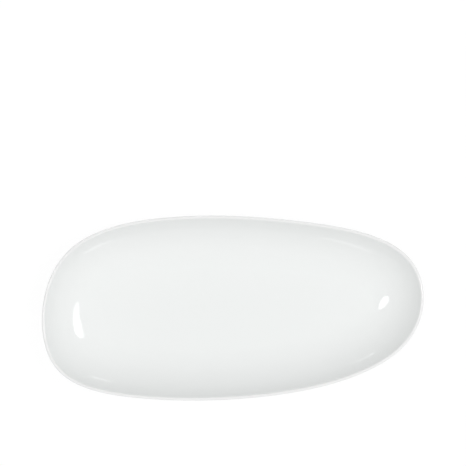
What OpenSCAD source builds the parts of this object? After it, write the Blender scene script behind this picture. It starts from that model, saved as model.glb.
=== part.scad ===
// Long egg-shaped coupe plate: a porcelain body on a foot ring, under two coats of glaze that leave
// the standing edge bare. Each piece is lofted through rings that follow the rim, every ring set in
// from it by a plan distance and raised to a height of its own.

/* [Plate] */
// Overall length, from the blunt end to the nose
plate_length = 380; // [300:1:460]
// Overall width, from the front edge to the back edge
plate_width = 184; // [150:1:230]
// Overall height, from the table to the crest of the rim
plate_height = 36; // [28:0.5:46]

/* [Wall] */
// Plan distance from the rim's outer edge to the flat floor
wall_run = 52; // [40:1:60]
// Thickness of the floor, with its glaze
floor_thickness = 4.5; // [3:0.1:8]
// Thickness of the rim, which ends in a full round
rim_thickness = 3.6; // [2.5:0.1:6]

/* [Foot ring] */
// Height of the underside above the table
foot_height = 4.5; // [3.5:0.1:8]
// Plan distance from the rim's outer edge to the middle of the standing edge
foot_inset = 46; // [38:1:56]
// Width of the flat standing edge
standing_edge = 2.4; // [1.5:0.1:5]
// Rounding on both sides of the standing edge
edge_round = 0.8; // [0.3:0.1:0.9]
// Lean of the foot's flanks from upright, in degrees
flank_lean = 14; // [5:1:25]
// Length that the fillet takes up on the flank and on the underside
foot_fillet = 1.8; // [0.8:0.1:2]

/* [Glaze] */
// Thickness of the glaze
glaze_thickness = 0.3; // [0.1:0.05:0.5]
// Height of bare porcelain between the table and the glaze
bare_height = 1.2; // [1:0.1:1.4]

/* [Hidden] */

// Corners of the control polygon that draws the rim, anticlockwise from the back of the nose, as
// shares of half the length and of half the width
rim_shares = [
    [1.03, 0.70],
    [0.40, 0.96],
    [-0.29, 1.05],
    [-0.98, 0.78],
    [-1.05, -0.63],
    [-0.68, -1.02],
    [0.30, -1.02],
    [1.03, -0.50]
];

// Number of facets along each span of the rim
span_steps = 10;
// Number of facets up the face of the wall
face_steps = 8;
// Number of facets in each of the crest's three stretches
crest_steps = 2;
// Number of facets under the wall
under_steps = 5;
// Number of facets in each fillet
fillet_steps = 2;

glaze_colour = [0.95, 0.96, 0.96];
porcelain_colour = [0.91, 0.89, 0.85];

function last(list) = list[len(list) - 1];
function without_first(list) = [for (k = [1:len(list) - 1]) list[k]];
function reversed(list) = [for (k = [len(list) - 1:-1:0]) list[k]];

// The plan of the rim

// Point of a closed cubic B-spline, part of the way along the span that starts near a corner
function spline_point(corners, span, part) =
    let (
        count = len(corners),
        before = corners[(span + count - 1) % count],
        here = corners[span],
        next = corners[(span + 1) % count],
        after = corners[(span + 2) % count]
    )
    (pow(1 - part, 3) * before
        + (3 * pow(part, 3) - 6 * pow(part, 2) + 4) * here
        + (3 * part + 3 * pow(part, 2) - 3 * pow(part, 3) + 1) * next
        + pow(part, 3) * after) / 6;

function spline(corners) = [
    for (span = [0:len(corners) - 1], step = [0:span_steps - 1])
        spline_point(corners, span, step / span_steps)
];

// Outward unit normal of the polygon's edge that leaves a corner
function edge_normal(corners, k) =
    let (along = corners[(k + 1) % len(corners)] - corners[k])
    [along.y, -along.x] / norm(along);

// Step of a corner that moves both of its edges inwards by one unit
function inward_step(corners, k) =
    let (
        arriving = edge_normal(corners, (k + len(corners) - 1) % len(corners)),
        leaving = edge_normal(corners, k)
    )
    -(arriving + leaving) / (1 + arriving * leaving);

// The control polygon, sized and centred so that the rim just fills the plate's length and width
share_rim = spline(rim_shares);
low_share = [min([for (p = share_rim) p.x]), min([for (p = share_rim) p.y])];
high_share = [max([for (p = share_rim) p.x]), max([for (p = share_rim) p.y])];
rim_corners = [
    for (p = rim_shares) [
        plate_length * (p.x - (low_share.x + high_share.x) / 2) / (high_share.x - low_share.x),
        plate_width * (p.y - (low_share.y + high_share.y) / 2) / (high_share.y - low_share.y)
    ]
];
rim = spline(rim_corners);
inward = spline([for (k = [0:len(rim_corners) - 1]) inward_step(rim_corners, k)]);
around = len(rim);

// The section of the wall and the foot, as points of plan distance in from the rim's outer edge
// and height above the table. Depth is measured into the porcelain from the glazed surface.

floor_height = foot_height + floor_thickness;
crest_radius = rim_thickness / 2;
crest_centre = [crest_radius, plate_height - crest_radius];

// Half the width of the foot between its flanks
function half_foot(height, depth) =
    standing_edge / 2 + edge_round + height * tan(flank_lean)
        + (glaze_thickness - depth) / cos(flank_lean);

// The face of the wall is an arc that leaves the flat floor and meets the round of the crest smoothly
face_rise = plate_height - floor_height;
face_reach = (pow(wall_run - crest_radius, 2) + pow(face_rise, 2)) / (2 * face_rise);
face_radius = face_reach - crest_radius;
face_centre = [wall_run, floor_height + face_radius];
face_angle = atan2(wall_run - crest_radius, face_reach - face_rise);

// The outside of the wall is an arc that leaves the flat underside at the foot's inner fillet
under_run = foot_inset + half_foot(foot_height, 0) + foot_fillet;
under_rise = plate_height - foot_height - rim_thickness;
under_reach = (pow(under_run - crest_radius, 2) + pow(under_rise, 2)) / (2 * under_rise);
under_radius = under_reach + crest_radius;
under_centre = [under_run, foot_height + under_radius];
under_angle = atan2(under_run - crest_radius, under_reach - under_rise);

// Slope of the outside where the foot's outer fillet ends
function root_angle(depth) =
    let (root = foot_inset - half_foot(foot_height, depth) - foot_fillet - depth)
    asin((under_run - root) / (under_radius - depth));

function arc(centre, radius, start, end, steps) = [
    for (step = [0:steps])
        let (angle = start + (end - start) * step / steps)
        centre + radius * [cos(angle), sin(angle)]
];

// Round of the rim. It has a point at its outermost side and at its top, so that the plate is just as
// long, wide and high as its sizes say.
crest_stops = [270 - under_angle, 180, 90, 90 - face_angle];
function crest(depth) = [
    for (k = [0:len(crest_stops) - 2])
        each without_first(arc(
            crest_centre, crest_radius - depth, crest_stops[k], crest_stops[k + 1], crest_steps
        ))
];

// From the foot up the outside, over the crest and down the face to the floor
function wall(depth) = concat(
    arc(under_centre, under_radius - depth, 270 - root_angle(depth), 270 - under_angle, under_steps),
    crest(depth),
    without_first(arc(face_centre, face_radius + depth, 270 - face_angle, 270, face_steps))
);

// A fillet that touches both lines of a corner
function fillet(start, corner, end) = [
    for (step = [0:fillet_steps])
        let (part = step / fillet_steps)
        pow(1 - part, 2) * start + 2 * part * (1 - part) * corner + pow(part, 2) * end
];

// Point on the foot's flank: side is -1 on the outside and 1 on the inside
function flank(side, height, depth) = [foot_inset + side * half_foot(height, depth), height];

function flank_down(side) = [-side * sin(flank_lean), -cos(flank_lean)];

// From the edge of the glaze up the outer flank to the outside of the wall
function outer_flank(depth) =
    let (
        end = wall(depth)[0],
        slope = root_angle(depth),
        gap = flank(-1, end.y, depth).x - end.x,
        length = gap / (cos(slope) - sin(slope) * tan(flank_lean)),
        corner = end + length * [cos(slope), -sin(slope)]
    )
    concat(
        [flank(-1, bare_height, depth)],
        fillet(corner + length * flank_down(-1), corner, end)
    );

// From the edge of the glaze up the inner flank to the flat underside
function inner_flank(depth) =
    let (
        length = foot_fillet + depth,
        corner = flank(1, foot_height + depth, depth)
    )
    concat(
        [flank(1, bare_height, depth)],
        fillet(corner + length * flank_down(1), corner, corner + [length, 0])
    );

// From a flank round to the standing edge
function standing_round(side) = fillet(
    flank(side, edge_round, glaze_thickness),
    flank(side, 0, glaze_thickness),
    [foot_inset + side * standing_edge / 2, 0]
);

// Lofting

function ring(at) = [for (k = [0:around - 1]) concat(rim[k] + at.x * inward[k], at.y)];

function rings(section) = [for (at = section) each ring(at)];

// Triangles between two rings. Each quad is cut along its shorter diagonal, so that surfaces that
// touch are cut alike.
function strip(points, low, high) = [
    for (k = [0:around - 1])
        let (
            next = (k + 1) % around,
            a = low * around + k,
            b = low * around + next,
            c = high * around + next,
            d = high * around + k
        )
        each norm(points[a] - points[c]) < norm(points[b] - points[d])
            ? [[a, c, b], [a, d, c]]
            : [[a, d, b], [b, d, c]]
];

// Solid through a row of rings, closed by a flat face at both ends
module loft(section) {
    points = rings(section);
    top = len(section) - 1;
    polyhedron(points, concat(
        [[for (k = [0:around - 1]) k]],
        [for (row = [0:top - 1]) each strip(points, row, row + 1)],
        [[for (k = [around - 1:-1:0]) top * around + k]]
    ));
}

// Solid through a closed row of rings
module hoop(section) {
    points = rings(section);
    polyhedron(points, [
        for (row = [0:len(section) - 1])
            each strip(points, row, (row + 1) % len(section))
    ]);
}

// The pieces

module porcelain_body() {
    color(porcelain_colour)
        loft(concat([last(inner_flank(glaze_thickness))], wall(glaze_thickness)));
}

module foot_ring() {
    color(porcelain_colour)
        hoop(concat(
            outer_flank(glaze_thickness),
            reversed(inner_flank(glaze_thickness)),
            standing_round(1),
            reversed(standing_round(-1))
        ));
}

function outer_skin(depth) = concat(outer_flank(depth), without_first(wall(depth)));

module outer_glaze() {
    color(glaze_colour)
        loft(concat(reversed(outer_skin(glaze_thickness)), outer_skin(0)));
}

module base_glaze() {
    color(glaze_colour)
        loft(concat(reversed(inner_flank(0)), inner_flank(glaze_thickness)));
}

porcelain_body();
foot_ring();
outer_glaze();
base_glaze();
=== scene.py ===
"""Studio view of a long egg-shaped porcelain plate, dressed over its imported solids.

The plate is one section carried round one rim. The rim is a closed spline in plan, and each point of
the section says how far in from the rim's outer edge it lies and how high above the table.
"""

import math

import bpy
import numpy as np
from mathutils import Matrix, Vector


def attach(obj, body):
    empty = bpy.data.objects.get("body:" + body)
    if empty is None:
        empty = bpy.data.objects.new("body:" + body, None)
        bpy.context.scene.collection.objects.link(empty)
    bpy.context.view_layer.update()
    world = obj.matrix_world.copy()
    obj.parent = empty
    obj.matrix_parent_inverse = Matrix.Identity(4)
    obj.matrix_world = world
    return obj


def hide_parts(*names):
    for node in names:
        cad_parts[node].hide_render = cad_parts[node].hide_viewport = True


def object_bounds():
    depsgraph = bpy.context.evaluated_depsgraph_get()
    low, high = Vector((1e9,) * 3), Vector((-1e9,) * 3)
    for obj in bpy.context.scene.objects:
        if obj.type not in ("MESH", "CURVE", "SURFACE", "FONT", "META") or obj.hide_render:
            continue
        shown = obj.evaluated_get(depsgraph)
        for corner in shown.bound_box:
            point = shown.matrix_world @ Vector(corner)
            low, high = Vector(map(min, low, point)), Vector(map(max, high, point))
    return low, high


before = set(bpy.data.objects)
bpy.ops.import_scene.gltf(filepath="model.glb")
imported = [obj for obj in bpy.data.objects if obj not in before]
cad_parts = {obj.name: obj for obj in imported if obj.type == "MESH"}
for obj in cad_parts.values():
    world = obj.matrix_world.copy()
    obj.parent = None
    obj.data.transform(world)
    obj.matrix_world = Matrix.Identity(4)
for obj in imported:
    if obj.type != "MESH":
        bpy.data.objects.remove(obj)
CAD_LOW, CAD_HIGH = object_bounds()

# Sizes of the plate, in metres

MM = 0.001
PLATE_LENGTH = CAD_HIGH.x - CAD_LOW.x
PLATE_WIDTH = CAD_HIGH.y - CAD_LOW.y
PLATE_HEIGHT = CAD_HIGH.z - CAD_LOW.z
WALL_RUN = 52 * MM
FLOOR_THICKNESS = 4.5 * MM
RIM_THICKNESS = 3.6 * MM
FOOT_HEIGHT = 4.5 * MM
FOOT_INSET = 46 * MM
STANDING_EDGE = 2.4 * MM
EDGE_ROUND = 0.8 * MM
FLANK_LEAN = math.radians(14)
FOOT_FILLET = 1.8 * MM
GLAZE = 0.3 * MM
BARE_HEIGHT = 1.2 * MM

# Corners of the rim's control polygon, as shares of half the length and half the width
RIM_SHARES = np.array([
    [1.03, 0.70],
    [0.40, 0.96],
    [-0.29, 1.05],
    [-0.98, 0.78],
    [-1.05, -0.63],
    [-0.68, -1.02],
    [0.30, -1.02],
    [1.03, -0.50],
])

# Points along each span of the rim and along each stretch of the section, and rings in a flat disc
SPAN_POINTS = 50
FACE_POINTS = 44
CREST_POINTS = 9
UNDER_POINTS = 20
FILLET_POINTS = 6
BEAD_POINTS = 4
FLOOR_RINGS = 16

# Edges that turn by more than this are shaded as sharp
SHARP_TURN = math.radians(50)

FLOOR_HEIGHT = FOOT_HEIGHT + FLOOR_THICKNESS
CREST_RADIUS = RIM_THICKNESS / 2


# The plan of the rim

def spline(corners, points):
    """Closed uniform cubic B-spline: every span blends its four nearest corners by cubic weights."""
    part = np.linspace(0, 1, points, endpoint=False)[None, :, None]
    before, here, after, beyond = (np.roll(corners, -k, axis=0)[:, None] for k in (-1, 0, 1, 2))
    blend = (
        (1 - part) ** 3 * before
        + (3 * part**3 - 6 * part**2 + 4) * here
        + (1 + 3 * part + 3 * part**2 - 3 * part**3) * after
        + part**3 * beyond
    )
    return blend.reshape(-1, corners.shape[1]) / 6


def inward_steps(corners):
    """For each corner, the step that moves both of its edges inwards by one: the sum of the edges'
    unit normals over one plus their dot product."""
    along = np.roll(corners, -1, axis=0) - corners
    leaving = np.stack([along[:, 1], -along[:, 0]], axis=1)
    leaving /= np.linalg.norm(leaving, axis=1)[:, None]
    arriving = np.roll(leaving, 1, axis=0)
    return -(leaving + arriving) / (1 + (leaving * arriving).sum(axis=1))[:, None]


def rim_corners():
    """The control polygon, sized and centred so that its spline fills the plate's length and width."""
    drawn = spline(RIM_SHARES, SPAN_POINTS)
    low, high = drawn.min(axis=0), drawn.max(axis=0)
    return (RIM_SHARES - (low + high) / 2) / (high - low) * [PLATE_LENGTH, PLATE_WIDTH]


CORNERS = rim_corners()
RIM = spline(CORNERS, SPAN_POINTS)
INWARD = spline(inward_steps(CORNERS), SPAN_POINTS)


# The section of the wall and the foot. Depth is measured into the plate from its glazed surface.

def half_foot(height, depth):
    """Half the foot's width: the standing edge and its round, widened by the lean of the flanks."""
    lean = height * math.tan(FLANK_LEAN)
    return STANDING_EDGE / 2 + EDGE_ROUND + lean + (GLAZE - depth) / math.cos(FLANK_LEAN)


# The face is an arc that leaves the flat floor and meets the round of the crest smoothly
FACE_RISE = PLATE_HEIGHT - FLOOR_HEIGHT
FACE_REACH = ((WALL_RUN - CREST_RADIUS) ** 2 + FACE_RISE**2) / (2 * FACE_RISE)
FACE_RADIUS = FACE_REACH - CREST_RADIUS
FACE_CENTRE = np.array([WALL_RUN, FLOOR_HEIGHT + FACE_RADIUS])
FACE_ANGLE = math.atan2(WALL_RUN - CREST_RADIUS, FACE_REACH - FACE_RISE)

# The outside is an arc that leaves the flat underside where the foot's inner fillet ends
UNDER_RUN = FOOT_INSET + half_foot(FOOT_HEIGHT, 0) + FOOT_FILLET
UNDER_RISE = PLATE_HEIGHT - FOOT_HEIGHT - RIM_THICKNESS
UNDER_REACH = ((UNDER_RUN - CREST_RADIUS) ** 2 + UNDER_RISE**2) / (2 * UNDER_RISE)
UNDER_RADIUS = UNDER_REACH + CREST_RADIUS
UNDER_CENTRE = np.array([UNDER_RUN, FOOT_HEIGHT + UNDER_RADIUS])
UNDER_ANGLE = math.atan2(UNDER_RUN - CREST_RADIUS, UNDER_REACH - UNDER_RISE)

CREST_CENTRE = np.array([CREST_RADIUS, PLATE_HEIGHT - CREST_RADIUS])

# Angles of three directions in the section, whose first axis points in from the rim
DOWN = 1.5 * math.pi
OUT = math.pi
UP = 0.5 * math.pi


def arc(centre, radius, start, end, points):
    """Points of a circle's arc, evenly turned from one angle to another."""
    angle = np.linspace(start, end, points)[:, None]
    return centre + radius * np.hstack([np.cos(angle), np.sin(angle)])


def fillet(start, corner, end, points):
    """Quadratic curve that leaves start towards the corner and arrives at end from it."""
    part = np.linspace(0, 1, points)[:, None]
    return (1 - part) ** 2 * start + 2 * part * (1 - part) * corner + part**2 * end


def root_angle(depth):
    """Slope of the outside where the foot's outer fillet ends."""
    root = FOOT_INSET - half_foot(FOOT_HEIGHT, depth) - FOOT_FILLET - depth
    return math.asin((UNDER_RUN - root) / (UNDER_RADIUS - depth))


def wall(depth):
    """From the foot up the outside arc, round the crest and down the face arc to the floor."""
    stops = [DOWN - UNDER_ANGLE, OUT, UP, UP - FACE_ANGLE]
    crest = [
        arc(CREST_CENTRE, CREST_RADIUS - depth, start, end, CREST_POINTS)[1:]
        for start, end in zip(stops, stops[1:])
    ]
    under = arc(UNDER_CENTRE, UNDER_RADIUS - depth, DOWN - root_angle(depth), stops[0], UNDER_POINTS)
    face = arc(FACE_CENTRE, FACE_RADIUS + depth, DOWN - FACE_ANGLE, DOWN, FACE_POINTS)[1:]
    return np.vstack([under, *crest, face])


def flank(side, height, depth):
    """Point on the foot's flank: side is -1 on the outside and 1 on the inside."""
    return np.array([FOOT_INSET + side * half_foot(height, depth), height])


def flank_down(side):
    """Unit step down a flank."""
    return np.array([-side * math.sin(FLANK_LEAN), -math.cos(FLANK_LEAN)])


def outer_flank(depth):
    """From the edge of the glaze up the outer flank, and by a fillet into the outside of the wall."""
    end = wall(depth)[0]
    slope = root_angle(depth)
    gap = flank(-1, end[1], depth)[0] - end[0]
    length = gap / (math.cos(slope) - math.sin(slope) * math.tan(FLANK_LEAN))
    corner = end + length * np.array([math.cos(slope), -math.sin(slope)])
    curve = fillet(corner + length * flank_down(-1), corner, end, FILLET_POINTS)
    return np.vstack([flank(-1, BARE_HEIGHT, depth), curve])


def inner_flank(depth):
    """From the edge of the glaze up the inner flank, and by a fillet into the flat underside."""
    length = FOOT_FILLET + depth
    corner = flank(1, FOOT_HEIGHT + depth, depth)
    curve = fillet(corner + length * flank_down(1), corner, corner + [length, 0], FILLET_POINTS)
    return np.vstack([flank(1, BARE_HEIGHT, depth), curve])


def glaze_bead(side):
    """Round end of the glaze on a flank: a quadratic curve that bulges down between the porcelain and
    the glazed surface, without its two ends."""
    inside, outside = flank(side, BARE_HEIGHT, GLAZE), flank(side, BARE_HEIGHT, 0)
    corner = (inside + outside) / 2 + GLAZE * flank_down(side)
    return fillet(inside, corner, outside, BEAD_POINTS)[1:-1]


def standing_round(side):
    """From a flank round to the flat standing edge."""
    end = np.array([FOOT_INSET + side * STANDING_EDGE / 2, 0])
    return fillet(flank(side, EDGE_ROUND, GLAZE), flank(side, 0, GLAZE), end, FILLET_POINTS)


# Meshes

def rings(section):
    """Every section point becomes a ring: the rim moved inwards by its first number, at the height of
    its second. The result has one row for each point and one column for each place round the rim."""
    plan = RIM[None] + section[:, None, :1] * INWARD[None]
    height = np.broadcast_to(section[:, None, 1:], plan.shape[:2] + (1,))
    return np.concatenate([plan, height], axis=2)


def disc(ring):
    """Copies of a ring that shrink evenly to its middle, and the middle itself."""
    middle = ring.mean(axis=0)
    share = np.linspace(1, 0, FLOOR_RINGS + 1)[1:-1, None, None]
    return middle + share * (ring - middle), middle


def quads(rows, columns, closed):
    """Faces between neighbouring rows, turned to look outwards. A closed grid joins its last row to
    its first."""
    row = np.arange(rows if closed else rows - 1)[:, None]
    column = np.arange(columns)[None]
    above = (row + 1) % rows
    beside = (column + 1) % columns
    faces = [
        row * columns + column,
        row * columns + beside,
        above * columns + beside,
        above * columns + column,
    ]
    return np.stack(faces, axis=-1).reshape(-1, 4)


def fan(first, columns, pole, turned):
    """Triangles between one ring and a single point."""
    here = first + np.arange(columns)
    beside = first + (np.arange(columns) + 1) % columns
    pair = [beside, here] if turned else [here, beside]
    return np.stack([*pair, np.full(columns, pole)], axis=-1)


def piece(name, points, faces, insets, material, node):
    """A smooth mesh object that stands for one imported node. Its attribute inset is the plan distance in
    from the rim's outer edge, in millimetres."""
    mesh = bpy.data.meshes.new(name)
    mesh.from_pydata(points.tolist(), [], [face for part in faces for face in part.tolist()])
    mesh.attributes.new("inset", "FLOAT", "POINT").data.foreach_set("value", insets / MM)
    mesh.shade_smooth()
    mesh.set_sharp_from_angle(angle=SHARP_TURN)
    mesh.materials.append(material)
    thing = bpy.data.objects.new(name, mesh)
    bpy.context.scene.collection.objects.link(thing)
    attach(thing, "root")
    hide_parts(node)


def loft(name, section, material, node):
    """Solid through a row of rings, closed at both ends by a flat disc."""
    middle = rings(section)
    start, start_pole = disc(middle[0])
    end, end_pole = disc(middle[-1])
    grid = np.concatenate([start[::-1], middle, end])
    rows, columns = grid.shape[:2]
    points = np.vstack([grid.reshape(-1, 3), start_pole, end_pole])
    faces = [
        quads(rows, columns, False),
        fan(0, columns, rows * columns, True),
        fan((rows - 1) * columns, columns, rows * columns + 1, False),
    ]
    inset = np.concatenate([
        np.full(len(start), section[0, 0]),
        section[:, 0],
        np.full(len(end), section[-1, 0]),
    ])
    insets = np.append(np.repeat(inset, columns), [section[0, 0], section[-1, 0]])
    piece(name, points, faces, insets, material, node)


def hoop(name, section, material, node):
    """Solid through a closed row of rings."""
    grid = rings(section)
    rows, columns = grid.shape[:2]
    insets = np.repeat(section[:, 0], columns)
    piece(name, grid.reshape(-1, 3), [quads(rows, columns, True)], insets, material, node)


# Shader nodes

def add(tree, kind, values=None, **settings):
    """A node with its settings, and with each named or numbered input set to a value or linked to a
    socket."""
    made = tree.nodes.new(kind)
    for key, value in settings.items():
        setattr(made, key, value)
    for key, value in (values or {}).items():
        if isinstance(value, bpy.types.NodeSocket):
            tree.links.new(value, made.inputs[key])
        else:
            made.inputs[key].default_value = value
    return made


def times(tree, first, second):
    """Product of two numbers."""
    return add(tree, "ShaderNodeMath", {0: first, 1: second}, operation="MULTIPLY").outputs[0]


def plus(tree, first, second):
    """Sum of two numbers."""
    return add(tree, "ShaderNodeMath", {0: first, 1: second}, operation="ADD").outputs[0]


def mix(tree, share, first, second):
    """Colour between two, by a share that is a number or a socket."""
    values = {0: share, 6: first, 7: second}
    return add(tree, "ShaderNodeMix", values, data_type="RGBA").outputs[2]


def smooth_change(tree, value, low, high, start=0.0, end=1.0):
    """Number that goes smoothly from start to end while the value goes from low to high."""
    limits = {0: value, 1: low, 2: high, 3: start, 4: end}
    return add(tree, "ShaderNodeMapRange", limits, interpolation_type="SMOOTHSTEP").outputs[0]


def noise(tree, place, scale, detail):
    """Smooth noise between nought and one."""
    values = {"Vector": place, "Scale": scale, "Detail": detail}
    return add(tree, "ShaderNodeTexNoise", values).outputs["Fac"]


# Effects that the materials share

NOISE_MIDDLE = 0.5


def group(name, inputs, output):
    """A node group with float inputs that have defaults, and one float output. Gives its tree, its
    inputs, its output and the place on the object."""
    tree = bpy.data.node_groups.new(name, "ShaderNodeTree")
    for label, value in inputs.items():
        socket = tree.interface.new_socket(label, in_out="INPUT", socket_type="NodeSocketFloat")
        socket.default_value = value
    tree.interface.new_socket(output, in_out="OUTPUT", socket_type="NodeSocketFloat")
    entry = tree.nodes.new("NodeGroupInput").outputs
    leave = tree.nodes.new("NodeGroupOutput").inputs[output]
    place = add(tree, "ShaderNodeTexCoord").outputs["Object"]
    return tree, entry, leave, place


def cloud_group():
    """Slow, cloudy change of tone: noise in three octaves, centred on nought and scaled."""
    tree, entry, leave, place = group("cloudy_tone", {"Scale": 20.0, "Amount": 1.0}, "Tone")
    tone = noise(tree, place, entry["Scale"], detail=2.0)
    centred = add(tree, "ShaderNodeMath", {0: tone, 1: NOISE_MIDDLE}, operation="SUBTRACT").outputs[0]
    tree.links.new(times(tree, centred, entry["Amount"]), leave)
    return tree


def ripple_group():
    """Height of a surface that is not quite smooth: a broad and a fine noise, added by their amounts."""
    inputs = {"Broad scale": 60.0, "Broad amount": 1.0, "Fine scale": 400.0, "Fine amount": 0.3}
    tree, entry, leave, place = group("ripple", inputs, "Height")
    broad, fine = (
        times(tree, noise(tree, place, entry[size + " scale"], detail=1.0), entry[size + " amount"])
        for size in ("Broad", "Fine")
    )
    tree.links.new(plus(tree, broad, fine), leave)
    return tree


def speck_group():
    """Scattered round specks: a cell pattern keeps the cells whose random number is under the share."""
    inputs = {"Scale": 150.0, "Size": 0.05, "Share": 0.05}
    tree, entry, leave, place = group("specks", inputs, "Mask")
    cells = add(tree, "ShaderNodeTexVoronoi", {"Vector": place, "Scale": entry["Scale"]}).outputs
    lot = add(tree, "ShaderNodeSeparateColor", {0: cells["Color"]}).outputs[0]
    kept = add(tree, "ShaderNodeMath", {0: lot, 1: entry["Share"]}, operation="LESS_THAN").outputs[0]
    spot = smooth_change(tree, cells["Distance"], 0.0, entry["Size"], 1.0, 0.0)
    tree.links.new(times(tree, spot, kept), leave)
    return tree


def band_group():
    """Mask that rises from nought to one between two heights, in millimetres above the table."""
    tree, entry, leave, place = group("height_band", {"From": 0.0, "To": 1.0}, "Mask")
    split = add(tree, "ShaderNodeSeparateXYZ", {0: place}).outputs
    height = times(tree, split["Z"], 1 / MM)
    tree.links.new(smooth_change(tree, height, entry["From"], entry["To"]), leave)
    return tree


CLOUD = cloud_group()
RIPPLE = ripple_group()
SPECKS = speck_group()
BAND = band_group()


def effect(tree, kind, **values):
    """A placed effect group, with its inputs named with underscores for spaces."""
    inputs = {key.replace("_", " "): value for key, value in values.items()}
    return add(tree, "ShaderNodeGroup", inputs, node_tree=kind).outputs[0]


def clouds(tree, middle, scale, amount):
    """Cloudy number round a middle value."""
    return plus(tree, effect(tree, CLOUD, Scale=scale, Amount=amount), middle)


# Materials

GLAZE_WHITE = (0.880, 0.897, 0.889, 1)
GLAZE_PALE = (0.900, 0.915, 0.908, 1)
GLAZE_DEEP = (0.868, 0.887, 0.878, 1)
GLAZE_THIN = (0.884, 0.886, 0.882, 1)
PINHOLE = (0.55, 0.53, 0.50, 1)
GLAZE_ROUGHNESS = 0.015
GLAZE_IOR = 1.5

# Insets between which the glaze grows deeper on its way to the floor, in millimetres, and how far its
# tone follows
COVE_FROM, COVE_TO = 30.0, 46.0
COVE_SHARE = 0.5

# Heights between which the glaze grows thin towards the top of the crest, in millimetres
CREST_TOP = PLATE_HEIGHT / MM
CREST_FROM, CREST_TO = CREST_TOP - 1.6, CREST_TOP + 0.2

# A pinhole's depth is counted in heights of the glaze's ripple
PINHOLE_DEPTH = 8.0
PINHOLE_ROUGHNESS = 0.3

BARE_WHITE = (0.78, 0.745, 0.69, 1)
BARE_WARM = (0.70, 0.655, 0.59, 1)
BARE_SPECK = (0.34, 0.29, 0.24, 1)
RUBBED = (0.50, 0.48, 0.45, 1)
BARE_ROUGHNESS = 0.72
SPECK_STRENGTH = 0.6
GRAIN_HEIGHT = 0.06 * MM

# Heights between which the standing edge is rubbed, in millimetres
RUB_FROM, RUB_TO = 0.9, 0.0


def surface(name):
    """A new material, with its tree and its main shader."""
    material = bpy.data.materials.new(name)
    material.use_nodes = True
    tree = material.node_tree
    return material, tree, tree.nodes["Principled BSDF"]


def connect(tree, shader, colour, roughness, height, reach):
    """Links a colour, a roughness and a bump height to the main shader. Reach is the height in metres of
    a bump of one."""
    tree.links.new(colour, shader.inputs["Base Color"])
    tree.links.new(roughness, shader.inputs["Roughness"])
    bump = add(tree, "ShaderNodeBump", {"Height": height, "Distance": reach})
    tree.links.new(bump.outputs["Normal"], shader.inputs["Normal"])


def glaze(name, pinhole_share, ripple_height):
    """Clear gloss over white porcelain: cloudy tone, deeper in the cove, thin and neutral on the crest,
    with a barely uneven surface and a few pinholes."""
    material, tree, shader = surface(name)
    colour = mix(tree, clouds(tree, middle=0.5, scale=16.0, amount=0.9), GLAZE_WHITE, GLAZE_PALE)
    inset = add(tree, "ShaderNodeAttribute", attribute_name="inset").outputs["Fac"]
    cove = smooth_change(tree, inset, COVE_FROM, COVE_TO)
    colour = mix(tree, times(tree, cove, COVE_SHARE), colour, GLAZE_DEEP)
    crest = effect(tree, BAND, From=CREST_FROM, To=CREST_TO)
    colour = mix(tree, crest, colour, GLAZE_THIN)
    holes = effect(tree, SPECKS, Scale=90.0, Size=0.03, Share=pinhole_share)
    colour = mix(tree, holes, colour, PINHOLE)
    gloss = clouds(tree, GLAZE_ROUGHNESS, scale=60.0, amount=0.01)
    roughness = plus(tree, gloss, times(tree, holes, PINHOLE_ROUGHNESS))
    ripple = effect(
        tree, RIPPLE, Broad_scale=70.0, Broad_amount=1.0, Fine_scale=420.0, Fine_amount=0.12,
    )
    height = plus(tree, ripple, times(tree, holes, -PINHOLE_DEPTH))
    connect(tree, shader, colour, roughness, height, ripple_height)
    shader.inputs["IOR"].default_value = GLAZE_IOR
    return material


def bare_porcelain(name, rubbed_share):
    """Fired porcelain without glaze: matt, finely grained and specked, rubbed grey where it stands."""
    material, tree, shader = surface(name)
    colour = mix(tree, clouds(tree, middle=0.5, scale=55.0, amount=1.4), BARE_WHITE, BARE_WARM)
    specks = effect(tree, SPECKS, Scale=700.0, Size=0.22, Share=0.06)
    colour = mix(tree, times(tree, specks, SPECK_STRENGTH), colour, BARE_SPECK)
    edge = effect(tree, BAND, From=RUB_FROM, To=RUB_TO)
    wear = times(tree, edge, clouds(tree, middle=0.4, scale=130.0, amount=1.6))
    colour = mix(tree, times(tree, wear, rubbed_share), colour, RUBBED)
    roughness = clouds(tree, BARE_ROUGHNESS, scale=300.0, amount=0.2)
    grain = effect(
        tree, RIPPLE, Broad_scale=600.0, Broad_amount=0.6, Fine_scale=2600.0, Fine_amount=1.0,
    )
    connect(tree, shader, colour, roughness, grain, GRAIN_HEIGHT)
    return material


FACE_GLAZE = glaze("face_glaze", pinhole_share=0.012, ripple_height=0.004 * MM)
UNDER_GLAZE = glaze("under_glaze", pinhole_share=0.05, ripple_height=0.008 * MM)
BODY_PORCELAIN = bare_porcelain("body_porcelain", rubbed_share=0.0)
FOOT_PORCELAIN = bare_porcelain("foot_porcelain", rubbed_share=0.7)

# The four pieces

outer_skin = [np.vstack([outer_flank(depth), wall(depth)[1:]]) for depth in (GLAZE, 0)]
loft(
    "outer_glaze_coat",
    np.vstack([outer_skin[0][::-1], glaze_bead(-1), outer_skin[1]]),
    FACE_GLAZE, "outer_glaze",
)
loft(
    "base_glaze_coat",
    np.vstack([inner_flank(0)[::-1], glaze_bead(1)[::-1], inner_flank(GLAZE)]),
    UNDER_GLAZE, "base_glaze",
)
loft(
    "plate_body",
    np.vstack([inner_flank(GLAZE)[-1:], wall(GLAZE)]),
    BODY_PORCELAIN, "porcelain_body",
)
hoop(
    "standing_ring",
    np.vstack([
        outer_flank(GLAZE),
        inner_flank(GLAZE)[::-1],
        standing_round(1),
        standing_round(-1)[::-1],
    ]),
    FOOT_PORCELAIN, "foot_ring",
)

# Camera, straight above. The picture is square, and the plate lies below its middle.

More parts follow.
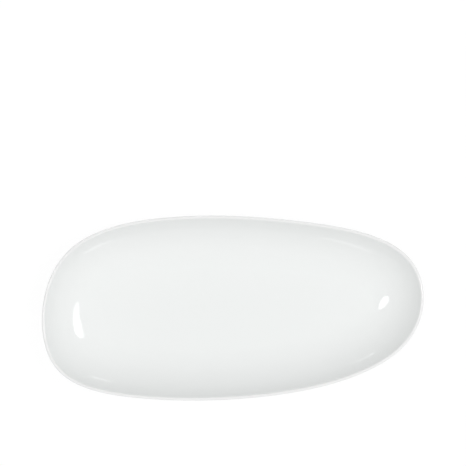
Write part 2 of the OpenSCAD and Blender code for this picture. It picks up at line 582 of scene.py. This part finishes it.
PICTURE_PIXELS = 466
PLATE_PIXELS = 382.1
PLATE_MIDDLE_PIXEL = (232.85, 308.1)
CAMERA_DISTANCE = 3.0
CAMERA_REACH = 50.0
SENSOR_WIDTH = 36.0

scene = bpy.context.scene
scene.view_settings.view_transform = "Standard"

pixel = PLATE_LENGTH / PLATE_PIXELS
camera = bpy.data.cameras.new("camera")
camera.sensor_width = SENSOR_WIDTH
camera.lens = SENSOR_WIDTH * CAMERA_DISTANCE / (PICTURE_PIXELS * pixel)
camera.clip_end = CAMERA_REACH
eye = bpy.data.objects.new("camera", camera)
eye.location = (
    (PICTURE_PIXELS / 2 - PLATE_MIDDLE_PIXEL[0]) * pixel,
    (PLATE_MIDDLE_PIXEL[1] - PICTURE_PIXELS / 2) * pixel,
    CREST_CENTRE[1] + CAMERA_DISTANCE,
)
scene.collection.objects.link(eye)
scene.camera = eye

# Light

# The dome is brightest straight up and down, brighter over the ends than over the long sides, and a
# little brighter at the nose and at the front
DOME_LEVEL = 0.121
DOME_RISE = 0.972
DOME_ENDS = 0.51
DOME_SIDE = (0.086, -0.12, 0)

# Places on the wall that mirror the soft boxes beyond the opposite end, and how far away every lamp is
BLUNT_WALL = (-0.153, -0.006, 0.012)
NOSE_WALL = (0.150, 0.006, 0.012)
LAMP_DISTANCE = 4.0

# Soft boxes beyond both ends make the large highlights, a low strip behind the plate lights the outside
# of its rim, and small cards near the table make faint streaks along the wall. Each lamp has a name, the
# place that it faces, its azimuth, elevation, width, height and turn in degrees, and its radiance.
LAMPS = [
    ("nose_wide_box", BLUNT_WALL, 0.1, 57.2, 21.5, 14.1, 23, 3.4),
    ("nose_tall_box", BLUNT_WALL, 7.2, 59.8, 20.5, 11.7, 71, 3.4),
    ("blunt_box", NOSE_WALL, 176.2, 67.2, 21.5, 12.1, -62, 5.4),
    ("back_strip", (0, 0.092, 0.034), 105, 0, 100, 1.0, 0, 11.0),
    ("front_left_card", (0.111, 0.064, 0.022), -103.5, 11.5, 15, 4.5, -35, 1.1),
    ("front_right_card", (-0.137, 0.064, 0.024), -64, 5.8, 18, 4.0, 0, 2.2),
    ("back_right_card", (-0.133, -0.073, 0.024), 76, 6.0, 10, 3.5, 0, 2.6),
    ("back_left_card", (0.105, -0.064, 0.024), 113, 6.5, 7, 3.5, 0, 1.9),
    ("back_left_glint", (0.138, -0.050, 0.024), 118, 7.2, 2.4, 3.0, 0, 3.8),
]


def seen_directly(tree):
    """One for camera, glossy and transmission rays, which see the pale background."""
    path = add(tree, "ShaderNodeLightPath").outputs
    seen = path["Is Camera Ray"]
    for kind in ("Is Glossy Ray", "Is Transmission Ray"):
        seen = add(tree, "ShaderNodeMath", {0: seen, 1: path[kind]}, operation="MAXIMUM").outputs[0]
    return seen


def dome():
    """World light: a level, a part that grows towards one side, and parts that grow with the squares of
    how far the direction points along the plate and how far it points up. Directly seen, it is white."""
    world = bpy.data.worlds.new("dome")
    scene.world = world
    world.use_nodes = True
    tree = world.node_tree
    towards = add(tree, "ShaderNodeTexCoord").outputs["Generated"]
    parts = add(tree, "ShaderNodeSeparateXYZ", {0: towards}).outputs
    ends = times(tree, times(tree, parts["X"], parts["X"]), DOME_ENDS)
    rise = times(tree, times(tree, parts["Z"], parts["Z"]), DOME_RISE)
    sideways = add(tree, "ShaderNodeVectorMath", {0: towards, 1: DOME_SIDE}, operation="DOT_PRODUCT")
    strength = plus(tree, plus(tree, ends, rise), plus(tree, sideways.outputs["Value"], DOME_LEVEL))
    shown = add(tree, "ShaderNodeMix", {0: seen_directly(tree), 2: strength, 3: 1.0}, data_type="FLOAT")
    background = tree.nodes["Background"]
    background.inputs["Color"].default_value = (1, 1, 1, 1)
    tree.links.new(shown.outputs[0], background.inputs["Strength"])


def span(degrees):
    """Width of a lamp that covers an angle, as seen from the plate: twice its distance times the tangent
    of half the angle."""
    return 2 * LAMP_DISTANCE * math.tan(math.radians(degrees / 2))


def oval_lamp(name, aim, azimuth, elevation, width, height, turn, radiance):
    """Oval lamp that faces the place at which it is aimed. Its azimuth is counted from the nose towards
    the back and its elevation from the table, its width and height are angles as seen from the plate,
    and its turn tips its width from level. Its power is pi times its radiance times its area."""
    round_about, above, tip = (math.radians(angle) for angle in (azimuth, elevation, turn))
    level = np.array([-math.sin(round_about), math.cos(round_about), 0])
    flat = np.array([math.cos(round_about), math.sin(round_about), 0])
    away = math.cos(above) * flat + [0, 0, math.sin(above)]
    wide = math.cos(tip) * level + math.sin(tip) * np.cross(away, level)
    axes = np.stack([wide, np.cross(away, wide), away], axis=1)
    lamp = bpy.data.lights.new(name, "AREA")
    lamp.shape = "ELLIPSE"
    lamp.size, lamp.size_y = span(width), span(height)
    lamp.energy = radiance * math.pi * (math.pi / 4 * lamp.size * lamp.size_y)
    thing = bpy.data.objects.new(name, lamp)
    place = Matrix.Translation(np.array(aim) + LAMP_DISTANCE * away)
    thing.matrix_world = place @ Matrix(axes.tolist()).to_4x4()
    thing.visible_camera = False
    scene.collection.objects.link(thing)


dome()
for lamp in LAMPS:
    oval_lamp(*lamp)

# The table, white to the camera, with a faint shadow of the plate

TABLE_RADIUS = 20.0
TABLE_WHITE = 0.97
TABLE_SEEN = 1.02
SHADOW_SHARE = 0.12


def table_white():
    """Directly seen, most of the table's white is its own and the rest is lit. From below it is clear."""
    material = bpy.data.materials.new("table_white")
    material.use_nodes = True
    tree = material.node_tree
    tree.nodes.remove(tree.nodes["Principled BSDF"])
    direct = seen_directly(tree)
    albedo = add(tree, "ShaderNodeMix", {0: direct, 2: TABLE_WHITE, 3: SHADOW_SHARE}, data_type="FLOAT")
    lit = add(tree, "ShaderNodeBsdfDiffuse", {"Color": albedo.outputs[0]})
    own = add(tree, "ShaderNodeEmission", {"Strength": times(tree, direct, TABLE_SEEN - SHADOW_SHARE)})
    white = add(tree, "ShaderNodeAddShader", {0: lit.outputs[0], 1: own.outputs[0]}).outputs[0]
    clear = add(tree, "ShaderNodeBsdfTransparent").outputs[0]
    behind = add(tree, "ShaderNodeNewGeometry").outputs["Backfacing"]
    sheet = add(tree, "ShaderNodeMixShader", {0: behind, 1: white, 2: clear}).outputs[0]
    tree.links.new(sheet, tree.nodes["Material Output"].inputs["Surface"])
    return material


def table():
    """A flat disc between the outer line of the standing edge and a wide circle. It is open inside the
    foot, so that the underside is lit in views from below."""
    inner = rings(np.array([[FOOT_INSET - STANDING_EDGE / 2, 0.0]]))[0]
    outer = TABLE_RADIUS * inner / np.linalg.norm(inner, axis=1)[:, None]
    grid = np.stack([outer, inner])
    mesh = bpy.data.meshes.new("table")
    mesh.from_pydata(grid.reshape(-1, 3).tolist(), [], quads(*grid.shape[:2], False).tolist())
    mesh.materials.append(table_white())
    thing = bpy.data.objects.new("table", mesh)
    scene.collection.objects.link(thing)


table()
